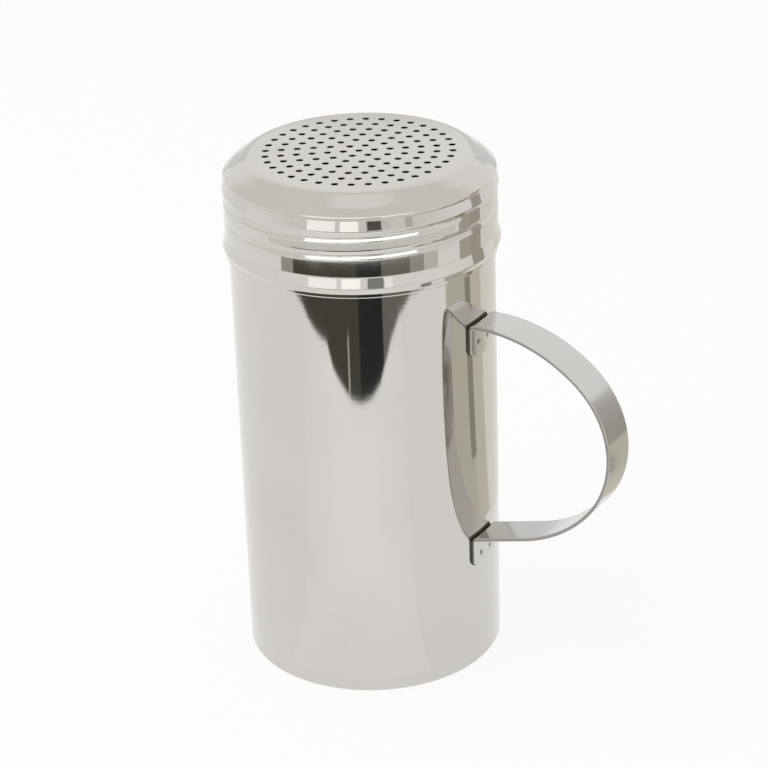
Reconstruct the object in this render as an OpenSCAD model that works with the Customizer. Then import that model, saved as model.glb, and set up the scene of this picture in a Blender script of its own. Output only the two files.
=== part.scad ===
// Perforated shaker with a screw-on lid and a strap handle, for dry seasoning.
// Frame: origin at the centre of the base, +Z up, handle towards +X. Millimetres.

/* [Cup] */
// Outer diameter of the cup's straight wall
cup_d = 75; // [70:1:100]
// Height of the cup up to the cut rim of its mouth
cup_h = 148.1; // [120:0.1:200]
// Thickness of the sheet that the cup and the lid are drawn from
sheet_t = 0.6; // [0.4:0.05:0.8]
// Outer radius of the corner round the base
base_corner_r = 1.4; // [0.8:0.1:8]
// How far the mouth is drawn in from the straight wall
neck_in = 1.1; // [0.8:0.05:1.6]
// Height of the drawn-in mouth, from the end of its shoulder to the rim
neck_h = 20.7; // [16:0.1:30]
// Height of the sloped shoulder between the wall and the mouth
shoulder_h = 1.6; // [1:0.1:4]

/* [Thread] */
// Rise of the rolled thread in one turn
thread_pitch = 5; // [4:0.1:5.2]
// Turns of thread on each piece
thread_turns = 1.4; // [0.8:0.1:1.7]
// How much shallower the rolled thread is than the sheet is thick
thread_step = 0.1; // [0.1:0.05:0.3]
// Half width of the thread where it leaves the sheet
thread_foot = 1.3; // [0.6:0.1:1.8]
// Half width of the thread at its crest
thread_crest = 0.35; // [0.1:0.05:0.7]
// Depth of the lower end of the cup's thread below the rim
thread_start = 10; // [9.6:0.05:12]

/* [Lid] */
// Radial play between the lid's skirt and the cup's wall
skirt_gap = 0.3; // [0.2:0.05:0.8]
// Play between the cup's rim and the inside of the lid
seat_gap = 0.3; // [0.1:0.05:1]
// Height of the lid from its lower edge to its flat top
lid_h = 28; // [26:0.1:35]
// Width of the lid's shoulder, from the flat top out to the skirt
shoulder_w = 6.8; // [5:0.1:9]
// Radius of the bend between the flat top and the shoulder
dome_r = 4; // [1:0.1:6]
// Fall of the shoulder's upper slope
upper_fall = 2.75; // [1.5:0.05:4]
// Fall of the shoulder's lower slope
lower_fall = 2.4; // [1.7:0.05:3.4]
// Width of the steeper lower slope
lower_slope_w = 2.55; // [1.8:0.05:3.6]
// Depth of the groove under the lid's rim
rim_groove = 0.65; // [0.35:0.05:1.1]
// Height from the rim down to that groove
rim_h = 0.8; // [0.7:0.05:1.5]
// Height of the flared band from the groove down to its crest
band_h = 2.8; // [2:0.05:3.6]
// How far the band's crest stands out of the skirt
band_rise = 0.2; // [0.05:0.05:0.5]
// Height of the lip's crest above the lid's lower edge
lip_z = 2.8; // [2:0.1:4]
// Height of the flare above that crest
flare_h = 3.1; // [1.8:0.1:5]
// How far the lip's crest stands out of the skirt
lip_rise = 0.75; // [0.2:0.05:1.2]
// Height of the tuck below the lip's crest
tuck_h = 1.6; // [0.9:0.1:2.4]
// Inner radius of the lid's small bends
small_bend_r = 0.15; // [0.05:0.05:0.3]

/* [Sieve] */
// Diameter of each hole
hole_d = 2; // [1:0.1:2.8]
// Distance between rings of holes
hole_pitch = 4.34; // [3.6:0.02:4.6]
// Rings of holes round the one in the middle
hole_rings = 6; // [2:1:6]
// Angle of the first spoke of holes from the handle
hole_turn = 37.2; // [0:0.1:60]

/* [Handle] */
// Width of the strap
strap_w = 12; // [8:0.5:18]
// Thickness of the strap
strap_t = 1; // [0.8:0.1:1.6]
// Drop from the cup's rim to the middle of the strap where it leaves the upper bend
handle_drop = 39.1; // [36.1:0.2:50.1]
// Radius of the small bends beside the cup, at the middle of the strap
bend_r = 1.3; // [1:0.1:4]
// Length of the level stretch after the upper bend
upper_run = 2.2; // [0:0.1:8]
// Radius of the arc over the fingers
shoulder_r = 45; // [36:0.5:52]
// Sweep of that arc
shoulder_a = 40; // [34:1:46]
// Radius of the arc at the far end of the loop
tip_r = 28; // [22:0.5:30]
// Sweep of that arc
tip_a = 90; // [84:1:96]
// Radius of the arc under the fingers
palm_r = 39; // [34:0.5:52]
// Sweep of that arc
palm_a = 35; // [30:1:40]
// Height of each tab that lies against the cup
tab_h = 8.4; // [7:0.1:14]
// Radius of each tab's free corners
tab_corner_r = 2.5; // [1:0.1:3]
// Distance between the two weld marks on a tab
weld_pitch = 5; // [4:0.1:5.5]
// Diameter of a weld mark
weld_d = 2.2; // [1.6:0.1:2.8]
// Depth of a weld mark
weld_depth = 0.15; // [0.1:0.01:0.25]

/* [Hidden] */
$fn = 96;
cup_r = cup_d / 2;
neck_r = cup_r - neck_in;
neck_z = cup_h - neck_h;
// Steps along an arc of the strap, and degrees in a step of a bend
arc_steps = 16;
bend_step = 8;
// Steps round one turn of thread, which meet the facets of the walls
turn_steps = $fn;
// How far a cut runs past the face that it leaves
past = 1;
// How far the thread stands out of its sheet
thread_depth = sheet_t - thread_step;
// How deep a thread's root is sunk into its own sheet, its half width there, and its run-out in degrees
thread_root = 0.3;
thread_root_w = thread_foot + (thread_foot - thread_crest) * thread_root / thread_depth;
runout = 40;

// Outer radius of the lid's small bends, and the radii of its shallow hollows
edge_r = sheet_t + small_bend_r;
groove_r = 0.2;
hollow_r = 0.5;
flare_r = 2;
// Height over which the band's crest falls back to the skirt
band_foot = 1;
// Radii of the bends above and below the cup's shoulder
shoulder_bend_r = [2, 1];

// The lid is placed from the cup's rim, which meets the inside of its lower slope
skirt_r = cup_r + skirt_gap + sheet_t;
break_r = skirt_r - lower_slope_w;
flat_r = skirt_r - shoulder_w;
lower_slope = atan(lower_fall / lower_slope_w);
rim_fall = upper_fall + (neck_r - break_r) * lower_fall / lower_slope_w;
lid_top = cup_h + seat_gap + sheet_t / cos(lower_slope) + rim_fall;
lid_bottom = lid_top - lid_h;
rim_z = lid_top - upper_fall - lower_fall;
groove_z = rim_z - rim_h;
band_z = groove_z - band_h;
lip_crest_z = lid_bottom + lip_z;

// Angle and heights at which the threads begin; the lid's turns lie halfway between the cup's
thread_angle = -39 * 360 / turn_steps;
cup_thread_z = cup_h - thread_start;
lid_thread_z = cup_thread_z - thread_pitch / 2;

// Corners of the cup's outside, each with its bend radius
cup_corners = [
    [0, 0, 0],
    [cup_r, 0, base_corner_r],
    [cup_r, neck_z - shoulder_h, shoulder_bend_r[0]],
    [neck_r, neck_z, shoulder_bend_r[1]],
    [neck_r, cup_h, 0]
];

// Corners of the lid's outside, each with its bend radius
lid_corners = [
    [0, lid_top, 0],
    [flat_r, lid_top, dome_r],
    [break_r, lid_top - upper_fall, 2 * dome_r],
    [skirt_r, rim_z, edge_r],
    [skirt_r - rim_groove, groove_z, groove_r],
    [skirt_r + band_rise, band_z, edge_r],
    [skirt_r, band_z - band_foot, hollow_r],
    [skirt_r, lip_crest_z + flare_h, flare_r],
    [skirt_r + lip_rise, lip_crest_z, edge_r],
    [skirt_r, lip_crest_z - tuck_h, hollow_r],
    [skirt_r, lid_bottom, 0]
];

// A tab runs on a little into the bend above it, and a tongue of the strap is sunk into the tab
tab_lap = 0.1;
tongue = [strap_t / 4, 2];

// Centre line of the strap, as arcs in the plane of the handle
handle_z = cup_h - handle_drop;
tab_x = cup_r + strap_t / 2;
arc_1 = [tab_x + bend_r + upper_run, handle_z - shoulder_r];
head_1 = -shoulder_a;
arc_2 = arc_1 + (shoulder_r - tip_r) * side(head_1);
head_2 = head_1 - tip_a;
arc_3 = arc_2 + (tip_r - palm_r) * side(head_2);
head_3 = head_2 - palm_a;
palm_end = arc_3 + palm_r * side(head_3);
lower_x = tab_x + bend_r - bend_r * side(head_3).x;
lower_run = (palm_end.x - lower_x) / -cos(head_3);
lower_end = palm_end + lower_run * [cos(head_3), sin(head_3)];
lower_bend = lower_end + bend_r * side(head_3);
upper_bend = [tab_x + bend_r, handle_z - bend_r];

// Unit vector to the left of a heading in the plane of the handle
function side(heading) = [-sin(heading), cos(heading)];

// Points of an arc from one angle to another
function arc(centre, r, from, to) = arc_of(centre, r, from, to, arc_steps);
function arc_of(centre, r, from, to, steps) =
    [for (i = [0:steps]) let (a = from + (to - from) * i / steps) centre + r * [cos(a), sin(a)]];

// One list in reverse order
function backwards(list) = [for (i = [len(list) - 1:-1:0]) list[i]];

// Points round one bend of an outline, moved to the right of its direction of travel
function bend(before, corner, after, off) =
    let (u = unit(corner - before), v = unit(after - corner))
    let (turn = atan2(u.x * v.y - u.y * v.x, u.x * v.x + u.y * v.y))
    let (side = sign(turn), r = corner.z)
    let (centre = flat(corner) - u * r * tan(abs(turn) / 2) + side * r * [-u.y, u.x])
    let (start = atan2(u.y, u.x) - 90 * side)
    arc_of(centre, r + side * off, start, start + turn, ceil(abs(turn) / bend_step));

// Points of an outline through its corners, moved to the right of its direction of travel
function outline(corners, off) =
    let (last = len(corners) - 1)
    let (first_way = unit(corners[1] - corners[0]), last_way = unit(corners[last] - corners[last - 1]))
    concat(
        [flat(corners[0]) + off * [first_way.y, -first_way.x]],
        [for (i = [1:last - 1]) each bend(corners[i - 1], corners[i], corners[i + 1], off)],
        [flat(corners[last]) + off * [last_way.y, -last_way.x]]
    );

// A corner or a direction without its third number
function flat(p) = [p.x, p.y];
function unit(p) = flat(p) / norm(flat(p));

// Closed section of sheet between an outline and its copy to the right
module sheet(corners, off) {
    polygon(concat(outline(corners, 0), backwards(outline(corners, off))));
}

// A helical rib that grows out of a wall, or in from it where the rise is negative, and fades at its ends
module thread(wall_r, rise, z) {
    steps = round(thread_turns * turn_steps);
    root = -sign(rise) * thread_root;
    points = [for (i = [0:steps])
        let (a = thread_angle + i * 360 / turn_steps)
        let (up = z + i * thread_pitch / turn_steps)
        let (full = min(1, min(i, steps - i) * 360 / turn_steps / runout))
        let (crest = root / 2 + (rise - root / 2) * full)
        let (w = thread_crest + (thread_root_w - thread_crest) * full)
        for (p = [[root, -w], [crest, -thread_crest], [crest, thread_crest], [root, w]])
            [(wall_r + p.x) * cos(a), (wall_r + p.x) * sin(a), up + p.y]];
    sides = [for (i = [0:steps - 1], j = [0:3])
        let (k = (j + 1) % 4)
        for (face = [[4 * i + j, 4 * i + k, 4 * i + 4 + k], [4 * i + j, 4 * i + 4 + k, 4 * i + 4 + j]]) face];
    ends = [[3, 2, 1, 0], [4 * steps, 4 * steps + 1, 4 * steps + 2, 4 * steps + 3]];
    faces = concat(sides, ends);
    polyhedron(points, rise > 0 ? [for (f = faces) backwards(f)] : faces);
}

// Drawn cup with a rolled thread round its mouth
module cup() {
    color([0.8, 0.8, 0.78])
    difference() {
        union() {
            rotate_extrude() sheet(cup_corners, -sheet_t);
            thread(neck_r, thread_depth, cup_thread_z);
        }
        thread(neck_r - sheet_t, thread_depth, cup_thread_z);
    }
}

// Rings of holes, each ring with six more than the last
module sieve() {
    translate([0, 0, lid_top - 2 * sheet_t])
        cylinder(d = hole_d, h = 3 * sheet_t);
    for (ring = [1:hole_rings], i = [0:6 * ring - 1])
        rotate(hole_turn + i * 60 / ring)
            translate([ring * hole_pitch, 0, lid_top - 2 * sheet_t])
                cylinder(d = hole_d, h = 3 * sheet_t);
}

// Perforated lid, rolled inwards to thread onto the cup
module lid() {
    color([0.82, 0.82, 0.8])
    difference() {
        union() {
            rotate_extrude() sheet(lid_corners, sheet_t);
            thread(skirt_r - sheet_t, -thread_depth, lid_thread_z);
        }
        thread(skirt_r, -thread_depth, lid_thread_z);
        sieve();
    }
}

// Points down one face of the strap, off its centre line by half its thickness
function strap_line(off) = concat(
    arc(upper_bend, bend_r + off, 180, 90),
    arc(arc_1, shoulder_r + off, 90, 90 + head_1),
    arc(arc_2, tip_r + off, 90 + head_1, 90 + head_2),
    arc(arc_3, palm_r + off, 90 + head_2, 90 + head_3),
    arc(lower_bend, bend_r - off, 270 + head_3, 180)
);

// Points round the tongue that is sunk into a tab, from its outer side to the cup's side
function tongue_line(z) = [
    [tab_x + tongue.x, z],
    [tab_x + tongue.x, z - tongue.y],
    [tab_x - tongue.x, z - tongue.y],
    [tab_x - tongue.x, z]
];

// The whole loop between the tabs, as its side outline swept across its width
module loop() {
    rotate([90, 0, 0])
        linear_extrude(strap_w, center = true)
            polygon(concat(
                strap_line(strap_t / 2),
                tongue_line(lower_bend.y),
                backwards(strap_line(-strap_t / 2)),
                tongue_line(upper_bend.y)
            ));
}

// Tab curved to the cup, hanging down from a height, with two round free corners
module tab(z) {
    reach = strap_w / 2;
    difference() {
        intersection() {
            translate([0, 0, z - tab_h])
                difference() {
                    cylinder(r = cup_r + strap_t, h = tab_h + tab_lap);
                    translate([0, 0, -past])
                        cylinder(r = cup_r, h = tab_h + 2 * past);
                }
            rotate([90, 0, 90])
                linear_extrude(cup_r + 2 * strap_t) {
                    translate([-reach, z - tab_h + tab_corner_r])
                        square([strap_w, tab_h]);
                    translate([-reach + tab_corner_r, z - tab_h])
                        square([strap_w - 2 * tab_corner_r, tab_h]);
                    for (y = [-reach + tab_corner_r, reach - tab_corner_r])
                        translate([y, z - tab_h + tab_corner_r])
                            circle(r = tab_corner_r);
                }
        }
        for (y = [-weld_pitch / 2, weld_pitch / 2])
            weld_mark(y, z - tab_h / 2);
    }
}

// Shallow dish left by a spot weld on the outside of a tab
module weld_mark(y, z) {
    dish_r = (weld_d * weld_d / 4 + weld_depth * weld_depth) / (2 * weld_depth);
    rotate(asin(y / (cup_r + strap_t)))
        translate([cup_r + strap_t - weld_depth + dish_r, 0, z])
            sphere(r = dish_r);
}

// Strap handle, bent from one strip and welded to the cup by its two tabs
module handle_strap() {
    color([0.76, 0.76, 0.74])
    union() {
        loop();
        tab(upper_bend.y);
        tab(lower_bend.y);
    }
}

cup();
lid();
handle_strap();
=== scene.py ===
"""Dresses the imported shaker: a drawn steel cup, its perforated screw-on lid and its strap handle."""

import math

import bmesh
import bpy
import numpy as np
from mathutils import Matrix, Vector
from mathutils.geometry import delaunay_2d_cdt


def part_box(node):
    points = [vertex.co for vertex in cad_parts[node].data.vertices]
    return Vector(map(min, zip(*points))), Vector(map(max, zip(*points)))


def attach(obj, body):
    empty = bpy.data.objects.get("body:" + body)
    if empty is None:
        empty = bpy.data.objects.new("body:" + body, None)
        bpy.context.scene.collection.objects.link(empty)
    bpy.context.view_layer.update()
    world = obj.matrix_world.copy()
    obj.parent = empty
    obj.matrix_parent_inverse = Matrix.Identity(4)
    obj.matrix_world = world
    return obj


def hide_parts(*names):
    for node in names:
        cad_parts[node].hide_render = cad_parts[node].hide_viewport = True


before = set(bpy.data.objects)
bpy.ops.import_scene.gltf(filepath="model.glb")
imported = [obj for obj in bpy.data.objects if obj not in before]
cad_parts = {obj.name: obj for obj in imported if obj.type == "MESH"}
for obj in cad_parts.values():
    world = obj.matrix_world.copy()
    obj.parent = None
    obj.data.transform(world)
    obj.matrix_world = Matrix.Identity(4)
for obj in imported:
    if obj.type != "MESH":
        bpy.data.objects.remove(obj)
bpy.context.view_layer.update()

MM = 0.001

# Sizes that the CAD holds, in millimetres and degrees

# Sheet and cup. The bends are the shoulder's lower and upper one
SHEET = 0.6
BASE_CORNER = 1.4
NECK_IN = 1.1
NECK_H = 20.7
SHOULDER_H = 1.6
SHOULDER_BENDS = (2.0, 1.0)

# Rolled thread: half the height of its hump, where round the axis it starts, how far below the cup's rim its
# lower end is, and over how many degrees each end fades
THREAD_PITCH = 5.0
THREAD_TURNS = 1.4
THREAD_DEPTH = 0.5
THREAD_HALF = 1.4
THREAD_ANGLE = -146.25
THREAD_START = 10.0
THREAD_RUNOUT = 40.0

# Lid: its skirt's play, then its two slopes, rim, band and lip, and the radii of its bends
SKIRT_GAP = 0.3
SHOULDER_W = 6.8
UPPER_FALL = 2.75
LOWER_FALL = 2.4
LOWER_SLOPE_W = 2.55
RIM_GROOVE = 0.65
RIM_H = 0.8
BAND_H = 2.8
BAND_RISE = 0.2
BAND_FOOT = 1.0
LIP_Z = 2.8
FLARE_H = 3.1
LIP_RISE = 0.75
TUCK_H = 1.6
DOME_R = 4.0
EDGE_R = 0.75
GROOVE_R = 0.2
HOLLOW_R = 0.5
FLARE_R = 2.0

# Sieve: the turn is the direction of the first hole of each ring
HOLE_D = 2.0
HOLE_PITCH = 4.34
HOLE_RINGS = 6
HOLE_TURN = 37.2

# Handle: the loop's arcs are pairs of a radius and a sweep, from the top down
STRAP_T = 1.0
HANDLE_DROP = 39.1
BEND_R = 1.3
UPPER_RUN = 2.2
ARCS = ((45.0, 40.0), (28.0, 90.0), (39.0, 35.0))
TAB_H = 8.4
TAB_CORNER = 2.5
WELD_PITCH = 5.0
WELD_D = 2.2
WELD_DEPTH = 0.15

# Sizes read from the frame, in millimetres
_, cup_high = (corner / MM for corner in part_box("cup"))
lid_low, lid_high = (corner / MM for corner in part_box("lid"))
strap_low, strap_high = (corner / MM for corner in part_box("handle_strap"))
CUP_R = cup_high.y
CUP_H = cup_high.z
NECK_R = CUP_R - NECK_IN
LID_TOP = lid_high.z
LID_BOTTOM = lid_low.z
SKIRT_R = CUP_R + SKIRT_GAP + SHEET
STRAP_Z = CUP_H - HANDLE_DROP
STRAP_W = strap_high.y - strap_low.y


# Meshes

# Steps round a lathed piece
TURN_STEPS = 360
# Most degrees of one step round a bend of a profile
BEND_STEP = 3.0
# Degrees past which an edge breaks the shading
SHARP_ANGLE = 50
# Points closer than this are one point, in millimetres
SAME_POINT = 0.0001


def arc(centre, r, start, stop, steps):
    """Points of an arc, in a plane, between two angles in degrees."""
    angles = np.radians(np.linspace(start, stop, steps + 1))
    return np.c_[centre[0] + r * np.cos(angles), centre[1] + r * np.sin(angles)]


def line(a, b, step):
    """Points from a to b, at most a step apart."""
    steps = max(1, math.ceil(math.dist(a, b) / step))
    return np.linspace(a, b, steps + 1)


def outline(corners, inset, step):
    """Points through corners of (radius, height, bend radius). An inset moves them to the right of the way they
    run."""
    c = np.array(corners, float)
    way = np.diff(c[:, :2], axis=0)
    way /= np.hypot(*way.T)[:, None]
    right = np.c_[way[:, 1], -way[:, 0]]
    places = [c[0, :2] + inset * right[0]]
    for i in range(1, len(c) - 1):
        u, v = way[i - 1], way[i]
        turn = math.atan2(u[0] * v[1] - u[1] * v[0], u @ v)
        side = math.copysign(1, turn)
        r = c[i, 2]
        centre = c[i, :2] - u * r * math.tan(abs(turn) / 2) + side * r * np.array([-u[1], u[0]])
        start = math.degrees(math.atan2(u[1], u[0])) - 90 * side
        steps = math.ceil(abs(math.degrees(turn)) / BEND_STEP)
        bend = arc(centre, r + side * inset, start, start + math.degrees(turn), steps)
        places += [*line(places[-1], bend[0], step)[1:], *bend[1:]]
    places += [*line(places[-1], c[-1, :2] + inset * right[-1], step)[1:]]
    return np.array(places)


def joined(*parts):
    """One list of points from several, with repeated ends left out."""
    points = np.concatenate([np.atleast_2d(part) for part in parts])
    gaps = np.hypot(*np.diff(points, axis=0).T)
    return points[np.r_[True, gaps > SAME_POINT]]


def smooth(t):
    """Eases a value on its way from 0 to 1."""
    return t * t * (3 - 2 * t)


def rings_of(count, size):
    """Indices of the vertices of some rings of one size."""
    return [range(i * size, (i + 1) * size) for i in range(count)]


def skin(rings):
    """Quads that join each ring of vertices to the next."""
    faces = []
    for a, b in zip(rings, rings[1:]):
        for i in range(len(a)):
            k = (i + 1) % len(a)
            faces.append((a[i], a[k], b[k], b[i]))
    return faces


def closed_skin(rings):
    """Quads that join each ring of vertices to the next, and a face over each end."""
    return [*skin(rings), tuple(rings[0])[::-1], tuple(rings[-1])]


def mesh_object(name, vertices, faces):
    """A smooth-shaded object from vertices in millimetres."""
    mesh = bpy.data.meshes.new(name)
    mesh.from_pydata((np.asarray(vertices) * MM).tolist(), [], faces)
    mesh.validate()
    mesh.polygons.foreach_set("use_smooth", [True] * len(mesh.polygons))
    obj = bpy.data.objects.new(name, mesh)
    bpy.context.scene.collection.objects.link(obj)
    return obj


def weighted(obj, sharp_angle=SHARP_ANGLE):
    """Keeps flat faces flat in the shading, and edges past an angle crisp."""
    mesh = obj.data
    bm = bmesh.new()
    bm.from_mesh(mesh)
    bmesh.ops.remove_doubles(bm, verts=bm.verts, dist=SAME_POINT * MM)
    bmesh.ops.recalc_face_normals(bm, faces=bm.faces)
    for edge in bm.edges:
        edge.smooth = not (edge.is_manifold and edge.calc_face_angle(0) > math.radians(sharp_angle))
    bm.to_mesh(mesh)
    bm.free()
    modifier = obj.modifiers.new("weighted", "WEIGHTED_NORMAL")
    modifier.keep_sharp = True


def thread_profile(angle, z, z_start):
    """How far a rolled thread stands out at an angle in degrees and a height, from 0 to 1."""
    rise = np.zeros(np.broadcast(angle, z).shape)
    turned = (angle - THREAD_ANGLE) % 360
    for turn in range(math.ceil(THREAD_TURNS)):
        along = turned + 360 * turn
        left = THREAD_TURNS * 360 - along
        fade = np.clip(np.minimum(along, left) / THREAD_RUNOUT, 0, 1)
        away = np.abs(z - z_start - along / 360 * THREAD_PITCH)
        hump = 0.5 + 0.5 * np.cos(np.pi * np.clip(away / THREAD_HALF, 0, 1))
        rise = np.maximum(rise, hump * smooth(fade))
    return rise


def lathe(profile, shape):
    """Vertices and rings of a profile of (radius, height) swept round Z, with its radius moved by
    shape(angle, radius, z)."""
    angles = np.arange(TURN_STEPS) * 360 / TURN_STEPS
    radius = np.repeat(profile[:, :1], TURN_STEPS, axis=1)
    z = np.repeat(profile[:, 1:], TURN_STEPS, axis=1)
    radius = radius + shape(angles, radius, z)
    a = np.radians(angles)
    vertices = np.stack([radius * np.cos(a), radius * np.sin(a), z], -1).reshape(-1, 3)
    return vertices, rings_of(len(profile), TURN_STEPS)


# Cup

# Radius of the small disc in the middle of the base, the longest step along the cup's half section, and the
# steps round its rim
HUB_R = 0.5
CUP_STEP = 0.3
RIM_STEPS = 6


def cup_line(inset):
    """Half section of the cup from near its axis to its rim, set in by the sheet."""
    neck_z = CUP_H - NECK_H
    return outline([
        (HUB_R, 0, 0),
        (CUP_R, 0, BASE_CORNER),
        (CUP_R, neck_z - SHOULDER_H, SHOULDER_BENDS[0]),
        (NECK_R, neck_z, SHOULDER_BENDS[1]),
        (NECK_R, CUP_H - SHEET / 2, 0),
    ], -inset, CUP_STEP)


def make_cup():
    """Drawn cup: straight wall, tight base corner, and a drawn-in mouth with its rolled thread."""
    rim = arc((NECK_R - SHEET / 2, CUP_H - SHEET / 2), SHEET / 2, 0, 180, RIM_STEPS)
    profile = joined(cup_line(0), rim, cup_line(SHEET)[::-1])

    def thread(angle, radius, z):
        on_neck = radius > NECK_R - 2 * SHEET
        return THREAD_DEPTH * thread_profile(angle, z, CUP_H - THREAD_START) * on_neck

    vertices, rings = lathe(profile, thread)
    cup = mesh_object("cup_shell", vertices, closed_skin(rings))
    weighted(cup)
    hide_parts("cup")
    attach(cup, "container")
    return cup


# Lid

# Radius of the flat plate that the sieve is punched in, the rounding of the lid's cut lower edge, and the
# longest step along its half section
PLATE_R = 30.0
LIP_CUT = 0.12
LID_STEP = 0.2
# Facets round a hole, and its half section: distance outside its wall, and depth below the top
HOLE_STEPS = 24
HOLE_EDGE = ((0.14, 0.0), (0.06, 0.02), (0.015, 0.07), (0.0, 0.14), (0.0, SHEET - 0.04), (0.04, SHEET))
# The triangulation's kind, which fills the inside of the rim and the holes too, and how near two points touch
INSIDE_RIM = 2
TOUCHING = 1e-6


def lid_line(inset):
    """Half section of the lid from the edge of the sieve's plate to its lower edge, set in by the sheet."""
    rim_z = LID_TOP - UPPER_FALL - LOWER_FALL
    band_z = rim_z - RIM_H - BAND_H
    crest_z = LID_BOTTOM + LIP_Z
    points = outline([
        (0, LID_TOP, 0),
        (SKIRT_R - SHOULDER_W, LID_TOP, DOME_R),
        (SKIRT_R - LOWER_SLOPE_W, LID_TOP - UPPER_FALL, 2 * DOME_R),
        (SKIRT_R, rim_z, EDGE_R),
        (SKIRT_R - RIM_GROOVE, rim_z - RIM_H, GROOVE_R),
        (SKIRT_R + BAND_RISE, band_z, EDGE_R),
        (SKIRT_R, band_z - BAND_FOOT, HOLLOW_R),
        (SKIRT_R, crest_z + FLARE_H, FLARE_R),
        (SKIRT_R + LIP_RISE, crest_z, EDGE_R),
        (SKIRT_R, crest_z - TUCK_H, HOLLOW_R),
        (SKIRT_R, LID_BOTTOM + LIP_CUT, 0),
    ], inset, LID_STEP)
    return points[points[:, 0] > PLATE_R]


def holes():
    """Centres of the sieve's holes: one, then six more round each ring."""
    centres = [(0.0, 0.0)]
    for ring in range(1, HOLE_RINGS + 1):
        for i in range(6 * ring):
            a = math.radians(HOLE_TURN + i * 60 / ring)
            centres.append((ring * HOLE_PITCH * math.cos(a), ring * HOLE_PITCH * math.sin(a)))
    return centres


def punch(vertices):
    """Adds the walls of all holes. Returns the rings on top, the rings below, and the faces."""
    upper, lower, faces = [], [], []
    angles = np.radians(np.arange(HOLE_STEPS) * 360 / HOLE_STEPS)
    for x, y in holes():
        rings = []
        for out, depth in HOLE_EDGE:
            r = HOLE_D / 2 + out
            rings.append([len(vertices) + i for i in range(HOLE_STEPS)])
            vertices.extend((x + r * math.cos(a), y + r * math.sin(a), LID_TOP - depth) for a in angles)
        faces += [face[::-1] for face in skin(rings)]
        upper.append(rings[0])
        lower.append(rings[-1])
    return upper, lower, faces


def plate(vertices, rim, rings):
    """Triangles of a flat disc inside a rim of vertices, with a hole for each ring."""
    order = list(rim) + [i for ring in rings for i in ring]
    flat = [Vector(vertices[i][:2]) for i in order]
    edges, start = [], 0
    for ring in [rim, *rings]:
        edges += [(start + i, start + (i + 1) % len(ring)) for i in range(len(ring))]
        start += len(ring)
    points, _, found, source, _, _ = delaunay_2d_cdt(flat, edges, [], INSIDE_RIM, TOUCHING)
    index = [order[places[0]] for places in source]
    centres = np.array(holes())
    kept = []
    # A known fault: the rings are wider than HOLE_D, so thin triangles just inside them are kept
    for face in found:
        middle = np.mean([points[i] for i in face], axis=0)
        if np.hypot(*(centres - middle).T).min() > HOLE_D / 2:
            kept.append(tuple(index[i] for i in face))
    return kept


def make_lid():
    """Perforated lid in one sheet, with its rolled thread, flared band and lip."""
    cut = [(SKIRT_R - LIP_CUT / 2, LID_BOTTOM), (SKIRT_R - SHEET + LIP_CUT / 2, LID_BOTTOM)]
    profile = joined(lid_line(0), cut, lid_line(SHEET)[::-1])

    def thread(angle, radius, z):
        on_skirt = radius > SKIRT_R - 1.5 * SHEET
        z_start = CUP_H - THREAD_START - THREAD_PITCH / 2
        return -THREAD_DEPTH * thread_profile(angle, z, z_start) * on_skirt

    vertices, rings = lathe(profile, thread)
    vertices = list(map(tuple, vertices))
    upper, lower, walls = punch(vertices)
    faces = skin(rings) + walls
    faces += plate(vertices, rings[0], upper)
    faces += [face[::-1] for face in plate(vertices, rings[-1], lower)]
    lid = mesh_object("lid_shell", vertices, faces)
    weighted(lid)
    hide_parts("lid")
    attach(lid, "cover")
    return lid


# Handle

# Steps round each of the strap's bends and arcs, and the longest steps along its tabs and last straight run
BEND_STEPS = 16
LOOP_STEPS = 30
TAB_STEP = 0.191
RUN_STEP = 2.0
# Radius of the strap's eased edges, with the steps round each, the points across its faces, and the angle
# past which its shading breaks
STRAP_EDGE_R = 0.28
STRAP_EDGE_STEPS = 4
ACROSS_POINTS = 28
STRAP_SHARP_ANGLE = 60


def tab_line(x, top):
    """Points up a tab's centre line."""
    return line((x, top - TAB_H), (x, top), TAB_STEP)


def strap_path():
    """Points (x, z) along the strap's centre line, and the heights of the tops of its upper and lower tab."""
    tab_x = CUP_R + STRAP_T / 2
    upper = np.array([tab_x + BEND_R, STRAP_Z - BEND_R])
    parts = [tab_line(tab_x, upper[1]), arc(upper, BEND_R, 180, 90, BEND_STEPS)]
    last_r = ARCS[0][0]
    centre = np.array([tab_x + BEND_R + UPPER_RUN, STRAP_Z - last_r])
    heading = 0.0
    for r, sweep in ARCS:
        a = math.radians(heading)
        centre = centre + (last_r - r) * np.array([-math.sin(a), math.cos(a)])
        parts.append(arc(centre, r, 90 + heading, 90 + heading - sweep, LOOP_STEPS))
        heading -= sweep
        last_r = r
    a = math.radians(heading)
    end = parts[-1][-1]
    last_x = tab_x + BEND_R + BEND_R * math.sin(a)
    run = (end[0] - last_x) / -math.cos(a)
    last = end + run * np.array([math.cos(a), math.sin(a)])
    parts.append(line(end, last, RUN_STEP))
    lower = last - BEND_R * np.array([math.sin(a), -math.cos(a)])
    parts.append(arc(lower, BEND_R, 270 + heading, 180, BEND_STEPS))
    parts.append(tab_line(tab_x, lower[1])[::-1])
    return joined(*parts), upper[1], lower[1]


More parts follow.
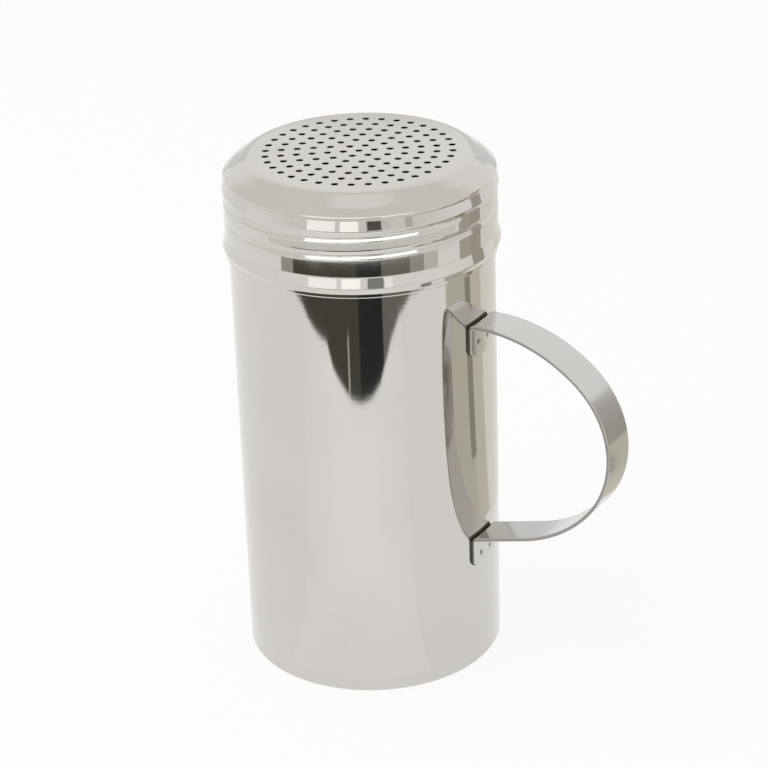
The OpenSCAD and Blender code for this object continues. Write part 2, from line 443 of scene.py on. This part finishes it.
def strap_section():
    """Ring of (across, through) points round the strap's section, with eased edges."""
    flat_w, flat_t = STRAP_W / 2 - STRAP_EDGE_R, STRAP_T / 2 - STRAP_EDGE_R
    ring = []
    for sx, sy, start in ((1, 1, 0), (-1, 1, 90), (-1, -1, 180), (1, -1, 270)):
        ring.append(arc((sx * flat_w, sy * flat_t), STRAP_EDGE_R, start, start + 90, STRAP_EDGE_STEPS))
        # The strap's faces follow its first and its third edge
        if sx == sy:
            across = np.linspace(flat_w, -flat_w, ACROSS_POINTS)[1:-1] * sx
            ring.append(np.c_[across, np.full(len(across), sy * STRAP_T / 2)])
    return joined(*ring)


def weld_heights():
    """Heights of the spot welds, halfway down each tab."""
    _, *tab_tops = strap_path()
    return [top - TAB_H / 2 for top in tab_tops]


def dimpled(vertices):
    """Presses the weld marks into the outside of the tabs."""
    for z in weld_heights():
        for y in (-WELD_PITCH / 2, WELD_PITCH / 2):
            away = np.hypot(vertices[:, 1] - y, vertices[:, 2] - z) / (WELD_D / 2)
            outside = np.hypot(vertices[:, 0], vertices[:, 1]) > CUP_R + STRAP_T / 2
            near = (away < 1) & outside & (vertices[:, 0] < CUP_R + 2 * STRAP_T)
            vertices[near, 0] -= WELD_DEPTH * (1 - away[near] ** 2)
    return vertices


def make_strap():
    """Strap handle bent from one strip, its tabs curved to the cup and spot welded."""
    path, *_ = strap_path()
    section = strap_section()
    tangent = np.gradient(path, axis=0)
    tangent /= np.hypot(*tangent.T)[:, None]
    outward = np.c_[-tangent[:, 1], tangent[:, 0]]
    length = np.r_[0, np.cumsum(np.hypot(*np.diff(path, axis=0).T))]
    half_w = STRAP_W / 2
    bend_length = math.radians(90) * BEND_R
    vertices = []
    for (x, z), (out_x, out_z), from_end in zip(path, outward, np.minimum(length, length[-1] - length)):
        # A tab's free end is round at its corners
        cut = TAB_CORNER - math.sqrt(TAB_CORNER**2 - max(0.0, TAB_CORNER - from_end) ** 2)
        narrowed = (half_w - cut) / half_w
        # The curve of the cup fades out along the bend beside the tab
        fade = smooth(np.clip(1 - (from_end - TAB_H) / bend_length, 0, 1))
        for across, through in section:
            y = across * narrowed
            sag = (math.sqrt(CUP_R**2 - y**2) - CUP_R) * fade
            vertices.append((x + out_x * through + sag, y, z + out_z * through))
    faces = closed_skin(rings_of(len(path), len(section)))
    strap = mesh_object("handle_loop", dimpled(np.array(vertices)), faces)
    weighted(strap, STRAP_SHARP_ANGLE)
    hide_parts("handle_strap")
    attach(strap, "container")
    return strap


# Materials

# Scale, detail and roughness of each noise: turning lines, wipe marks, specks, and the waves of drawn sheet
LINES = (1.0, 3.0, 0.6)
WIPES = (38.0, 4.0, 0.55)
SPECKS = (900.0, 2.0, 0.5)
WAVES = (40.0, 1.0, 0.4)
# How fast the turning lines change across the piece
LINE_DRIFT = 12.0
# Depths of the turning lines and of the waves at full strength, in metres
LINE_DEPTH = 0.00002
WAVE_DEPTH = 0.0004
# Levels of the noise over which wipe marks and specks roughen the steel, and wipe marks dull it
ROUGH_WIPES = (0.35, 0.7)
ROUGH_SPECKS = (0.55, 0.8)
DULL_WIPES = (0.4, 0.75)
# The specks' share of the range of roughness, and the brightness of a wipe mark
SPECK_SHARE = 0.4
WIPE_SHADE = 0.96
# Width of the strap's sheared edge in metres, its brightness, and the roughness that edges and seams add
SHEARED_W = 0.0001
EDGE_SHADE = 0.5
EDGE_ROUGH = 0.25
# Painted shade in the seam beside the cup, and darkened steel in the middle of a spot weld
SEAM_SHADE_COLOUR = (0.14, 0.13, 0.11)
WELD_COLOUR = (0.14, 0.13, 0.105)
# Where the painted shade in the seam ends, as shares of the strap's thickness outside the cup
SEAM_SHADE_ENDS = (0.7, 0.95)
# Radii of a weld's dark middle and of where the darkening ends, and where steel is too far out to be a tab's
WELD_SPOT = (WELD_D / 8 * MM, WELD_D / 3 * MM)
PAST_TAB = ((CUP_R + STRAP_T + 0.3) * MM, (CUP_R + STRAP_T + 0.4) * MM)


class Nodes:
    """Small helper for building a node tree."""

    def __init__(self, tree):
        self.tree = tree

    def add(self, kind, **settings):
        """A new node, with its properties or its inputs set by name."""
        node = self.tree.nodes.new(kind)
        for key, value in settings.items():
            if key in node.bl_rna.properties:
                setattr(node, key, value)
            else:
                node.inputs[key].default_value = value
        return node

    def link(self, output, socket):
        self.tree.links.new(output, socket)

    def math(self, operation, a, b=None):
        """Output of a calculation on one or two numbers or sockets."""
        node = self.add("ShaderNodeMath", operation=operation)
        for value, socket in zip((a, b), node.inputs):
            if isinstance(value, (int, float)):
                socket.default_value = value
            elif value is not None:
                self.link(value, socket)
        return node.outputs[0]

    def noise(self, vector, scale, detail, roughness):
        """Output of a noise."""
        node = self.add("ShaderNodeTexNoise", Scale=scale, Detail=detail, Roughness=roughness)
        self.link(vector, node.inputs["Vector"])
        return node.outputs["Fac"]

    def spread(self, value, low, high, to_low=0.0, to_high=1.0):
        """Output that goes from one number to another as a value goes from low to high."""
        node = self.add("ShaderNodeMapRange", clamp=True)
        self.link(value, node.inputs["Value"])
        for name, number in (("From Min", low), ("From Max", high), ("To Min", to_low), ("To Max", to_high)):
            node.inputs[name].default_value = number
        return node.outputs["Result"]

    def mix(self, factor, a, b):
        """Output of a mix of two colours, each a tuple or a socket."""
        node = self.add("ShaderNodeMix", data_type="RGBA")
        self.link(factor, node.inputs["Factor"])
        for value, name in ((a, "A"), (b, "B")):
            socket = [s for s in node.inputs if s.name == name and s.type == "RGBA"][0]
            if isinstance(value, tuple):
                socket.default_value = (*value, 1)
            else:
                self.link(value, socket)
        return [s for s in node.outputs if s.type == "RGBA"][0]

    def hypot(self, a, b):
        """Output of the distance that two sides at a right angle make."""
        squares = [self.math("MULTIPLY", side, side) for side in (a, b)]
        return self.math("SQRT", self.math("ADD", *squares))


def weld_spots(n, y, z, radius):
    """1 in the middle of a spot weld and 0 past it."""
    aside = n.math("SUBTRACT", n.math("ABSOLUTE", y), WELD_PITCH / 2 * MM)
    above = [n.math("ABSOLUTE", n.math("SUBTRACT", z, height * MM)) for height in weld_heights()]
    away = n.hypot(aside, n.math("MINIMUM", *above))
    spot = n.spread(away, *WELD_SPOT, 1.0, 0.0)
    on_tab = n.spread(radius, *PAST_TAB, 1.0, 0.0)
    return n.math("MULTIPLY", spot, on_tab)


def strap_marks(n, y, z, radius, colour, rough, tint):
    """Roughness and tint with dull sheared edges, a rougher seam beside the cup with painted shade in it, and
    weld spots.
    """
    edge = n.spread(n.math("ABSOLUTE", y), STRAP_W / 2 * MM - SHEARED_W, STRAP_W / 2 * MM)
    seam_shade_starts, seam_shade_stops = ((CUP_R + share * STRAP_T) * MM for share in SEAM_SHADE_ENDS)
    # Painted shade: the strap's steel nearest the cup's wall is darkened and roughened, standing in for the
    # shade in the crease between strap and cup
    seam_shade = n.spread(radius, seam_shade_starts, seam_shade_stops, 1.0, 0.0)
    rough = n.math("ADD", rough, n.math("MULTIPLY", n.math("MAXIMUM", edge, seam_shade), EDGE_ROUGH))
    tint = n.mix(edge, tint, tuple(c * EDGE_SHADE for c in colour))
    tint = n.mix(weld_spots(n, y, z, radius), tint, WELD_COLOUR)
    # The seam's painted shade is mixed over the tint last
    return rough, n.mix(seam_shade, tint, SEAM_SHADE_COLOUR)


def steel(name, colour, rough_low, rough_high, line_scale, line_bump, wave_bump, is_strap=False):
    """Polished steel with fine turning lines, wipe marks and the slight waves of drawn sheet. The strap has
    its own marks too."""
    material = bpy.data.materials.new(name)
    material.use_nodes = True
    n = Nodes(material.node_tree)
    shader = material.node_tree.nodes["Principled BSDF"]
    shader.inputs["Metallic"].default_value = 1.0
    place = n.add("ShaderNodeTexCoord").outputs["Object"]
    parts = n.add("ShaderNodeSeparateXYZ")
    n.link(place, parts.inputs[0])
    x, y, z = parts.outputs
    radius = n.hypot(x, y)
    # Turning lines run round the axis, so they vary quickly with radius and height only
    turned = n.add("ShaderNodeCombineXYZ")
    n.link(n.math("MULTIPLY", radius, line_scale), turned.inputs[0])
    n.link(n.math("MULTIPLY", z, line_scale), turned.inputs[1])
    n.link(n.math("MULTIPLY", n.math("ADD", x, y), LINE_DRIFT), turned.inputs[2])
    lines = n.noise(turned.outputs[0], *LINES)
    wipes = n.noise(place, *WIPES)
    specks = n.noise(place, *SPECKS)
    waves = n.noise(place, *WAVES)
    rough = n.math("ADD", n.spread(wipes, *ROUGH_WIPES, rough_low, rough_high),
                   n.spread(specks, *ROUGH_SPECKS, 0.0, (rough_high - rough_low) * SPECK_SHARE))
    tint = n.mix(n.spread(wipes, *DULL_WIPES), colour, tuple(c * WIPE_SHADE for c in colour))
    if is_strap:
        rough, tint = strap_marks(n, y, z, radius, colour, rough, tint)
    n.link(rough, shader.inputs["Roughness"])
    n.link(tint, shader.inputs["Base Color"])
    fine = n.add("ShaderNodeBump", Strength=line_bump, Distance=LINE_DEPTH)
    n.link(lines, fine.inputs["Height"])
    broad = n.add("ShaderNodeBump", Strength=wave_bump, Distance=WAVE_DEPTH)
    n.link(waves, broad.inputs["Height"])
    n.link(fine.outputs[0], broad.inputs["Normal"])
    n.link(broad.outputs[0], shader.inputs["Normal"])
    return material


# Camera, in metres and degrees: its direction from -Y round the axis, its distance back and its height, how
# it is turned there, and its lens and sensor in millimetres

CAM_AZIMUTH = 32.4
CAM_BACK = 0.6684
CAM_HEIGHT = 0.3998
CAM_PITCH = 25.525
CAM_YAW = 0.412
CAM_ROLL = -1.905
CAM_LENS = 120.24
CAM_SENSOR = 36.0


def make_camera():
    """The photograph's camera, standing round from -Y towards the handle."""
    data = bpy.data.cameras.new("camera")
    data.lens = CAM_LENS
    data.sensor_width = CAM_SENSOR
    camera = bpy.data.objects.new("camera", data)
    bpy.context.scene.collection.objects.link(camera)
    pitch, yaw, roll = (math.radians(v) for v in (CAM_PITCH, CAM_YAW, CAM_ROLL))
    ahead = Vector((math.sin(yaw) * math.cos(pitch), math.cos(yaw) * math.cos(pitch), -math.sin(pitch)))
    right = ahead.cross(Vector((0, 0, 1))).normalized()
    up = right.cross(ahead)
    rolled = math.cos(roll) * right + math.sin(roll) * up
    lifted = math.cos(roll) * up - math.sin(roll) * right
    turn = Matrix((rolled, lifted, -ahead)).transposed().to_4x4()
    round_z = Matrix.Rotation(math.radians(CAM_AZIMUTH), 4, "Z")
    camera.matrix_world = round_z @ Matrix.Translation((0, -CAM_BACK, CAM_HEIGHT)) @ turn
    bpy.context.scene.camera = camera


# Studio, in metres

# Half the floor's width, the grey of its paint, and how much of it is an even white instead
FLOOR_REACH = 6.0
FLOOR_GREY = 0.85
FLOOR_WHITE = 0.9
# Strength of the sky as a light, where 1 is how bright it looks
SKY_LIGHT = 0.75
# The ceiling, which the lid's shoulder reflects, is a little dimmer than the far wall, the horizon and the
# zenith. The far wall leans this much to the right of the camera's line
DIM_SKY = (0.87, 0.86, 0.83)
SKY_LEAN = 0.25
# Where the dim ceiling ends: towards the far wall, and in height towards the zenith and the horizon
FAR_WALL = (0.45, 0.65)
ZENITH = (0.96, 0.99)
HORIZON = (0.05, 0.15)
LAMP_SIZE = (0.9, 0.6)
LAMP_WATTS = 6
LAMP_PLACE = (-0.5, -0.5, 1.1)
LAMP_AIM = (0, 0, 0.08)

# Cards that the polished steel reflects. Their directions are seen from the axis, in degrees to the right of
# the camera's

# Nested patches of sheet in front of the shaker, each a little brighter: the direction of their middle, half
# their widths in degrees, where the first begins, how much later each other does, where all end, by how much
# each is brighter than the one round it, and the points along its near edge
BRIGHT_MIDDLE = -11
BRIGHT_HALVES = range(40, 8, -4)
BRIGHT_NEAR = 0.045
BRIGHT_STAGGER = 0.012
BRIGHT_FAR = 0.30
BRIGHT_STEP = 0.01
BRIGHT_POINTS = 5
# Height of one layer of cards on the floor
CARD_LAYER = 0.00005
# Where the dim floor in front ends and pale floor follows
DIM_END = 0.362
# Patches on the floor: the near edge as directions and distances from the axis, the far distance and the
# colour
FLOOR_CARDS = (
    ("pale_floor", [(direction, DIM_END) for direction in range(-80, 81, 20)], 0.6, (0.84, 0.84, 0.83)),
    ("dim_left_end", ((-68, 0.335), (-57, 0.32)), DIM_END, (0.40, 0.39, 0.36)),
    ("dim_left", ((-57, 0.32), (-52, 0.311), (-46, 0.296), (-31.5, 0.278), (-26.5, 0.2545), (-20, 0.2415),
                  (-13, 0.231), (-5, 0.2275)), DIM_END, (0.075, 0.07, 0.055)),
    ("dim_middle", ((-5, 0.2275), (3.5, 0.232), (10.5, 0.243), (14, 0.256)), DIM_END, (0.027, 0.027, 0.028)),
    ("dim_right", ((14, 0.256), (20, 0.280), (27, 0.3005), (37, 0.317)), DIM_END, (0.18, 0.175, 0.155)),
    ("dim_right_end", ((37, 0.317), (49, 0.325)), DIM_END, (0.38, 0.37, 0.35)),
    ("dim_last", ((49, 0.325), (62, 0.335)), DIM_END, (0.68, 0.67, 0.64)),
    ("streak", ((-14.6, 0.234), (-13.4, 0.233)), 0.285, (0.5, 0.5, 0.5)),
    ("olive_left", ((70, 0.158), (73.5, 0.133), (78, 0.1195), (86.5, 0.107), (97, 0.105)), 0.33,
     (0.60, 0.60, 0.50)),
    ("olive_right", ((97, 0.105), (105, 0.105), (114, 0.105)), 0.33, (0.68, 0.66, 0.57)),
    ("olive_seam", ((91.5, 0.155), (98.5, 0.155)), 0.33, (0.33, 0.33, 0.255)),
    ("grey_right", ((114, 0.10), (130, 0.10), (145, 0.10), (160, 0.10)), 0.6, (0.88, 0.87, 0.81)),
    ("olive_far", ((84, 0.33), (97, 0.33)), 0.6, (0.50, 0.49, 0.42)),
    ("brown_far", ((97, 0.33), (112, 0.33)), 2.2, (0.46, 0.44, 0.38)),
)
# Upright cards: how far off they stand and how high their horizon is, then each one's directions, degrees
# above that horizon, and colour
ROOM_DISTANCE = 2.0
ROOM_HORIZON = 0.13
ROOM_CARDS = (
    ("window_left", (-44, -21.3), (0.5, 15), (1.36, 1.35, 1.37)),
    ("window_right", (-17.4, -2.7), (0.5, 15), (1.48, 1.47, 1.46)),
    ("upright_low", (3, 15.6), (-3, 7.9), (0.30, 0.30, 0.29)),
    ("upright_high", (4.1, 15.6), (11, 14.5), (0.085, 0.08, 0.075)),
    ("slit_low", (16.5, 22.6), (0, 9), (1.23, 1.22, 1.22)),
    ("slit_high", (16.5, 22.6), (9, 15), (0.80, 0.79, 0.76)),
    ("far_chair", (35, 41), (6, 14), (0.62, 0.61, 0.58)),
    ("brown_wall", (99, 112), (-3.7, 17), (0.48, 0.455, 0.43)),
    ("back_wall", (150, 205), (-2, 18), (0.82, 0.82, 0.82)),
    ("ceiling_glow", (-50, 45), (17, 32), (1.9, 1.9, 1.9)),
)


def seen_directly(n):
    """1 where the camera or the steel sees a thing, and 0 where it only lights others."""
    path = n.add("ShaderNodeLightPath")
    seen = n.math("MAXIMUM", path.outputs["Is Camera Ray"], path.outputs["Is Glossy Ray"])
    return n.math("MAXIMUM", seen, path.outputs["Is Transmission Ray"])


def empty_material(name):
    """A new material without nodes, and the helper that fills its tree."""
    material = bpy.data.materials.new(name)
    material.use_nodes = True
    material.node_tree.nodes.clear()
    return material, Nodes(material.node_tree)


def glow(name, colour):
    """A plain glowing surface."""
    material, n = empty_material(name)
    emission = n.add("ShaderNodeEmission", Color=(*colour, 1), Strength=1.0)
    n.link(emission.outputs[0], n.add("ShaderNodeOutputMaterial").inputs[0])
    return material


def floor_paint():
    """Lit pale paint that the camera and the steel see as almost even white."""
    material, n = empty_material("floor_white")
    paint = n.add("ShaderNodeBsdfDiffuse", Color=(FLOOR_GREY, FLOOR_GREY, FLOOR_GREY, 1))
    white = n.add("ShaderNodeEmission", Color=(1, 1, 1, 1), Strength=1.0)
    mix = n.add("ShaderNodeMixShader")
    n.link(n.math("MULTIPLY", seen_directly(n), FLOOR_WHITE), mix.inputs[0])
    n.link(paint.outputs[0], mix.inputs[1])
    n.link(white.outputs[0], mix.inputs[2])
    n.link(mix.outputs[0], n.add("ShaderNodeOutputMaterial").inputs[0])
    return material


def flat_object(name, corners, material):
    """A flat face through some corners, in metres."""
    mesh = bpy.data.meshes.new(name)
    mesh.from_pydata(corners, [], [tuple(range(len(corners)))])
    mesh.materials.append(material)
    obj = bpy.data.objects.new(name, mesh)
    bpy.context.scene.collection.objects.link(obj)
    return obj


def make_floor():
    """Plain pale floor, wide enough to fill the picture."""
    corners = [(x * FLOOR_REACH, y * FLOOR_REACH, 0) for x, y in ((-1, -1), (1, -1), (1, 1), (-1, 1))]
    flat_object("floor", corners, floor_paint())


def make_world():
    """White sky with a slightly dim ceiling."""
    world = bpy.data.worlds.new("studio")
    bpy.context.scene.world = world
    world.use_nodes = True
    n = Nodes(world.node_tree)
    background = world.node_tree.nodes["Background"]
    n.link(n.spread(seen_directly(n), 0.0, 1.0, SKY_LIGHT, 1.0), background.inputs["Strength"])
    direction = n.add("ShaderNodeTexCoord").outputs["Generated"]
    parts = n.add("ShaderNodeSeparateXYZ")
    n.link(direction, parts.inputs[0])
    height = parts.outputs["Z"]
    away = n.add("ShaderNodeVectorMath", operation="DOT_PRODUCT")
    n.link(direction, away.inputs[0])
    far_wall = Vector((SKY_LEAN, 1, 0))
    far_wall.rotate(Matrix.Rotation(math.radians(CAM_AZIMUTH), 3, "Z"))
    away.inputs[1].default_value = far_wall
    bright = n.math("MAXIMUM", n.spread(away.outputs["Value"], *FAR_WALL), n.spread(height, *ZENITH))
    bright = n.math("MAXIMUM", bright, n.spread(height, *HORIZON, 1.0, 0.0))
    n.link(n.mix(bright, DIM_SKY, (1.0, 1.0, 1.0)), background.inputs["Color"])


def make_lamp():
    """Soft lamp above and to the left, which nothing mirrors."""
    data = bpy.data.lights.new("softbox", "AREA")
    data.shape = "RECTANGLE"
    data.size, data.size_y = LAMP_SIZE
    data.energy = LAMP_WATTS
    lamp = bpy.data.objects.new("softbox", data)
    bpy.context.scene.collection.objects.link(lamp)
    lamp.location = LAMP_PLACE
    lamp.rotation_euler = (Vector(LAMP_AIM) - lamp.location).to_track_quat("-Z", "Y").to_euler()
    lamp.visible_camera = False
    lamp.visible_glossy = False


def floor_point(direction, distance, level):
    """A place just above the floor, at a direction from the camera's and a distance from the axis."""
    a = math.radians(direction)
    return (distance * math.sin(a), -distance * math.cos(a), CARD_LAYER * level)


def sector(edge, far, level):
    """Corners of a patch of floor between a near edge and an arc at a far distance."""
    back = [(direction, far) for direction, _ in reversed(edge)]
    return [floor_point(direction, distance, level) for direction, distance in (*edge, *back)]


def room_point(direction, above):
    """A place in the room, at a direction from the camera's and an angle above the horizon."""
    a, e = math.radians(direction), math.radians(above)
    height = ROOM_HORIZON + ROOM_DISTANCE * math.tan(e)
    return (ROOM_DISTANCE * math.sin(a), -ROOM_DISTANCE * math.cos(a), height)


def card(name, corners, colour):
    """A flat card that only reflections see."""
    obj = flat_object(name, corners, glow(name + "_glow", colour))
    obj.visible_camera = False
    obj.visible_diffuse = False
    obj.visible_shadow = False
    obj.rotation_euler.z = math.radians(CAM_AZIMUTH)


def make_cards():
    """The room that the steel reflects: a white sheet in front of the shaker, and dimmer things beyond it."""
    for step, half in enumerate(BRIGHT_HALVES, 1):
        near = BRIGHT_NEAR + (step - 1) * BRIGHT_STAGGER
        directions = np.linspace(BRIGHT_MIDDLE - half, BRIGHT_MIDDLE + half, BRIGHT_POINTS)
        edge = [(direction, near) for direction in directions]
        card(f"bright_sheet_{step}", sector(edge, BRIGHT_FAR, step), (1 + step * BRIGHT_STEP,) * 3)
    for level, (name, edge, far, colour) in enumerate(FLOOR_CARDS, len(BRIGHT_HALVES) + 1):
        card(name, sector(edge, far, level), colour)
    for name, (left, right), (low, high), colour in ROOM_CARDS:
        corners = ((left, low), (right, low), (right, high), (left, high))
        card(name, [room_point(direction, above) for direction, above in corners], colour)


def main():
    make_camera()
    polished = steel("polished_steel", (0.63, 0.605, 0.575), rough_low=0.035, rough_high=0.06,
                     line_scale=2600.0, line_bump=0.08, wave_bump=0.05)
    satin = steel("satin_steel", (0.62, 0.605, 0.585), rough_low=0.11, rough_high=0.17,
                  line_scale=2000.0, line_bump=0.15, wave_bump=0.03, is_strap=True)
    make_cup().data.materials.append(polished)
    make_lid().data.materials.append(polished)
    make_strap().data.materials.append(satin)
    make_floor()
    make_world()
    make_lamp()
    make_cards()
    bpy.context.scene.view_settings.view_transform = "Standard"


main()

bpy.context.view_layer.update()
